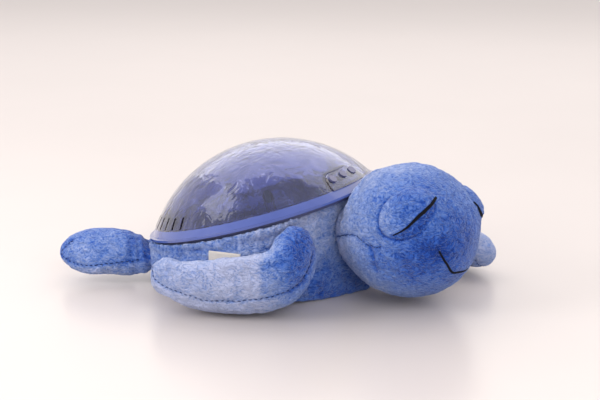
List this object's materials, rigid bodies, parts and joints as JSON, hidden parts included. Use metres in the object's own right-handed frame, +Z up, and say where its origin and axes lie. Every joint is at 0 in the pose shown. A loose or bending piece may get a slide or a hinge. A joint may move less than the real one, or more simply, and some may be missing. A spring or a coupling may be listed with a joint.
{
  "type": "plush night light projector",
  "caption": "Stuffed sleeping turtle with a tilted clear dome shell on its back; a lamp, a turning ripple disc and a lens inside throw moving light on the ceiling.",
  "frame": {"origin": "on the flat belly at table level, on the body's mid-plane, 36 mm behind the centre of the shell's rim", "axes": "+X to the head end, +Y to the turtle's left, +Z up"},
  "size_m": [0.3336, 0.2506, 0.1138],
  "materials": {
    "plush": "short-pile blue plush with lighter clouds",
    "tape": "woven hook-and-loop tape",
    "label": "blank woven label",
    "dome": "clear tinted, glossy, rippled inside",
    "band": "glossy deep blue",
    "button": "tinted, half clear",
    "circuit": "solder mask",
    "black_plastic": "matt",
    "steel": "zinc plated",
    "housing": "fine grain",
    "cell": "plain wrap",
    "white_plastic": "satin",
    "lamp": "clear lens",
    "clear": "clear, polished",
    "basket": "black"
  },
  "bodies": {
    "turtle": {"torso": "plush", "head": "plush", "loop_strip": "tape", "care_label": "label", "dome_shell": "dome", "rim_band": "band", "control_panel": "dome", "key_board": "circuit", "key_switches": "black_plastic", "key_screws": "steel", "base_tray": "housing", "case_screws": "steel", "battery_door": "housing", "door_screw": "steel", "battery_cells": "cell", "battery_contacts": "steel", "main_board": "circuit", "board_screws": "steel", "sound_chip": "black_plastic", "lamp_board": "white_plastic", "lamp": "lamp", "reflector": "white_plastic", "spindle": "steel", "spindle_clip": "black_plastic", "motor": "steel", "motor_bracket": "white_plastic", "bracket_screws": "steel", "lens_holder": "housing", "projector_lens": "clear", "speaker": "basket", "speaker_cone": "black_plastic", "speaker_ring": "housing"},
    "right_front_limb": {"right_front_flipper": "plush"},
    "left_front_limb": {"left_front_flipper": "plush"},
    "right_rear_limb": {"right_rear_flipper": "plush"},
    "left_rear_limb": {"left_rear_flipper": "plush"},
    "light_key": {"light_button": "button"},
    "sound_key": {"sound_button": "button"},
    "volume_key": {"volume_button": "button"},
    "disc": {"ripple_disc": "clear"},
    "drive_pinion": {"motor_shaft": "steel", "pinion": "white_plastic"},
    "flap": {"belly_flap": "plush", "hook_strip": "tape"}
  },
  "joints": [
    {"name": "right_front_swing", "type": "hinge", "parent": "turtle", "child": "right_front_limb", "pos_m": [0.107, -0.074, 0.04], "axis": [0, 0, 1], "range_deg": [0, 40]},
    {"name": "left_front_swing", "type": "hinge", "parent": "turtle", "child": "left_front_limb", "pos_m": [0.099, 0.08, 0.034], "axis": [0, 0, 1], "range_deg": [0, 60]},
    {"name": "right_rear_lift", "type": "hinge", "parent": "turtle", "child": "right_rear_limb", "pos_m": [-0.048, -0.0485, 0.036], "axis": [-0.5, 0.866, 0], "range_deg": [0, 35]},
    {"name": "left_rear_lift", "type": "hinge", "parent": "turtle", "child": "left_rear_limb", "pos_m": [-0.02891, 0.07208, 0.036], "axis": [0.7431, 0.6691, 0], "range_deg": [0, 35]},
    {"name": "light_press", "type": "slide", "parent": "turtle", "child": "light_key", "axis": [-0.5475, 0.1678, -0.8198], "range_m": [0, 0.001], "stiffness_N_per_m": 400, "springref_m": -0.002},
    {"name": "sound_press", "type": "slide", "parent": "turtle", "child": "sound_key", "axis": [-0.5475, 0.1678, -0.8198], "range_m": [0, 0.001], "stiffness_N_per_m": 400, "springref_m": -0.002},
    {"name": "volume_press", "type": "slide", "parent": "turtle", "child": "volume_key", "axis": [-0.5475, 0.1678, -0.8198], "range_m": [0, 0.001], "stiffness_N_per_m": 400, "springref_m": -0.002},
    {"name": "disc_spin", "type": "hinge", "parent": "turtle", "child": "disc", "pos_m": [0.02065, 0, 0.05348], "axis": [-0.2823, 0, 0.9593], "continuous": true},
    {"name": "pinion_spin", "type": "hinge", "parent": "turtle", "child": "drive_pinion", "pos_m": [0.02963, 0.03492, 0.05612], "axis": [-0.2823, 0, 0.9593], "continuous": true},
    {"name": "flap_open", "type": "hinge", "parent": "turtle", "child": "flap", "pos_m": [0.113, 0, 0], "axis": [0, -1, 0], "range_deg": [0, 100]}
  ],
  "couplings": [
    {"joint": "pinion_spin", "follows": "disc_spin", "ratio": -5}
  ]
}
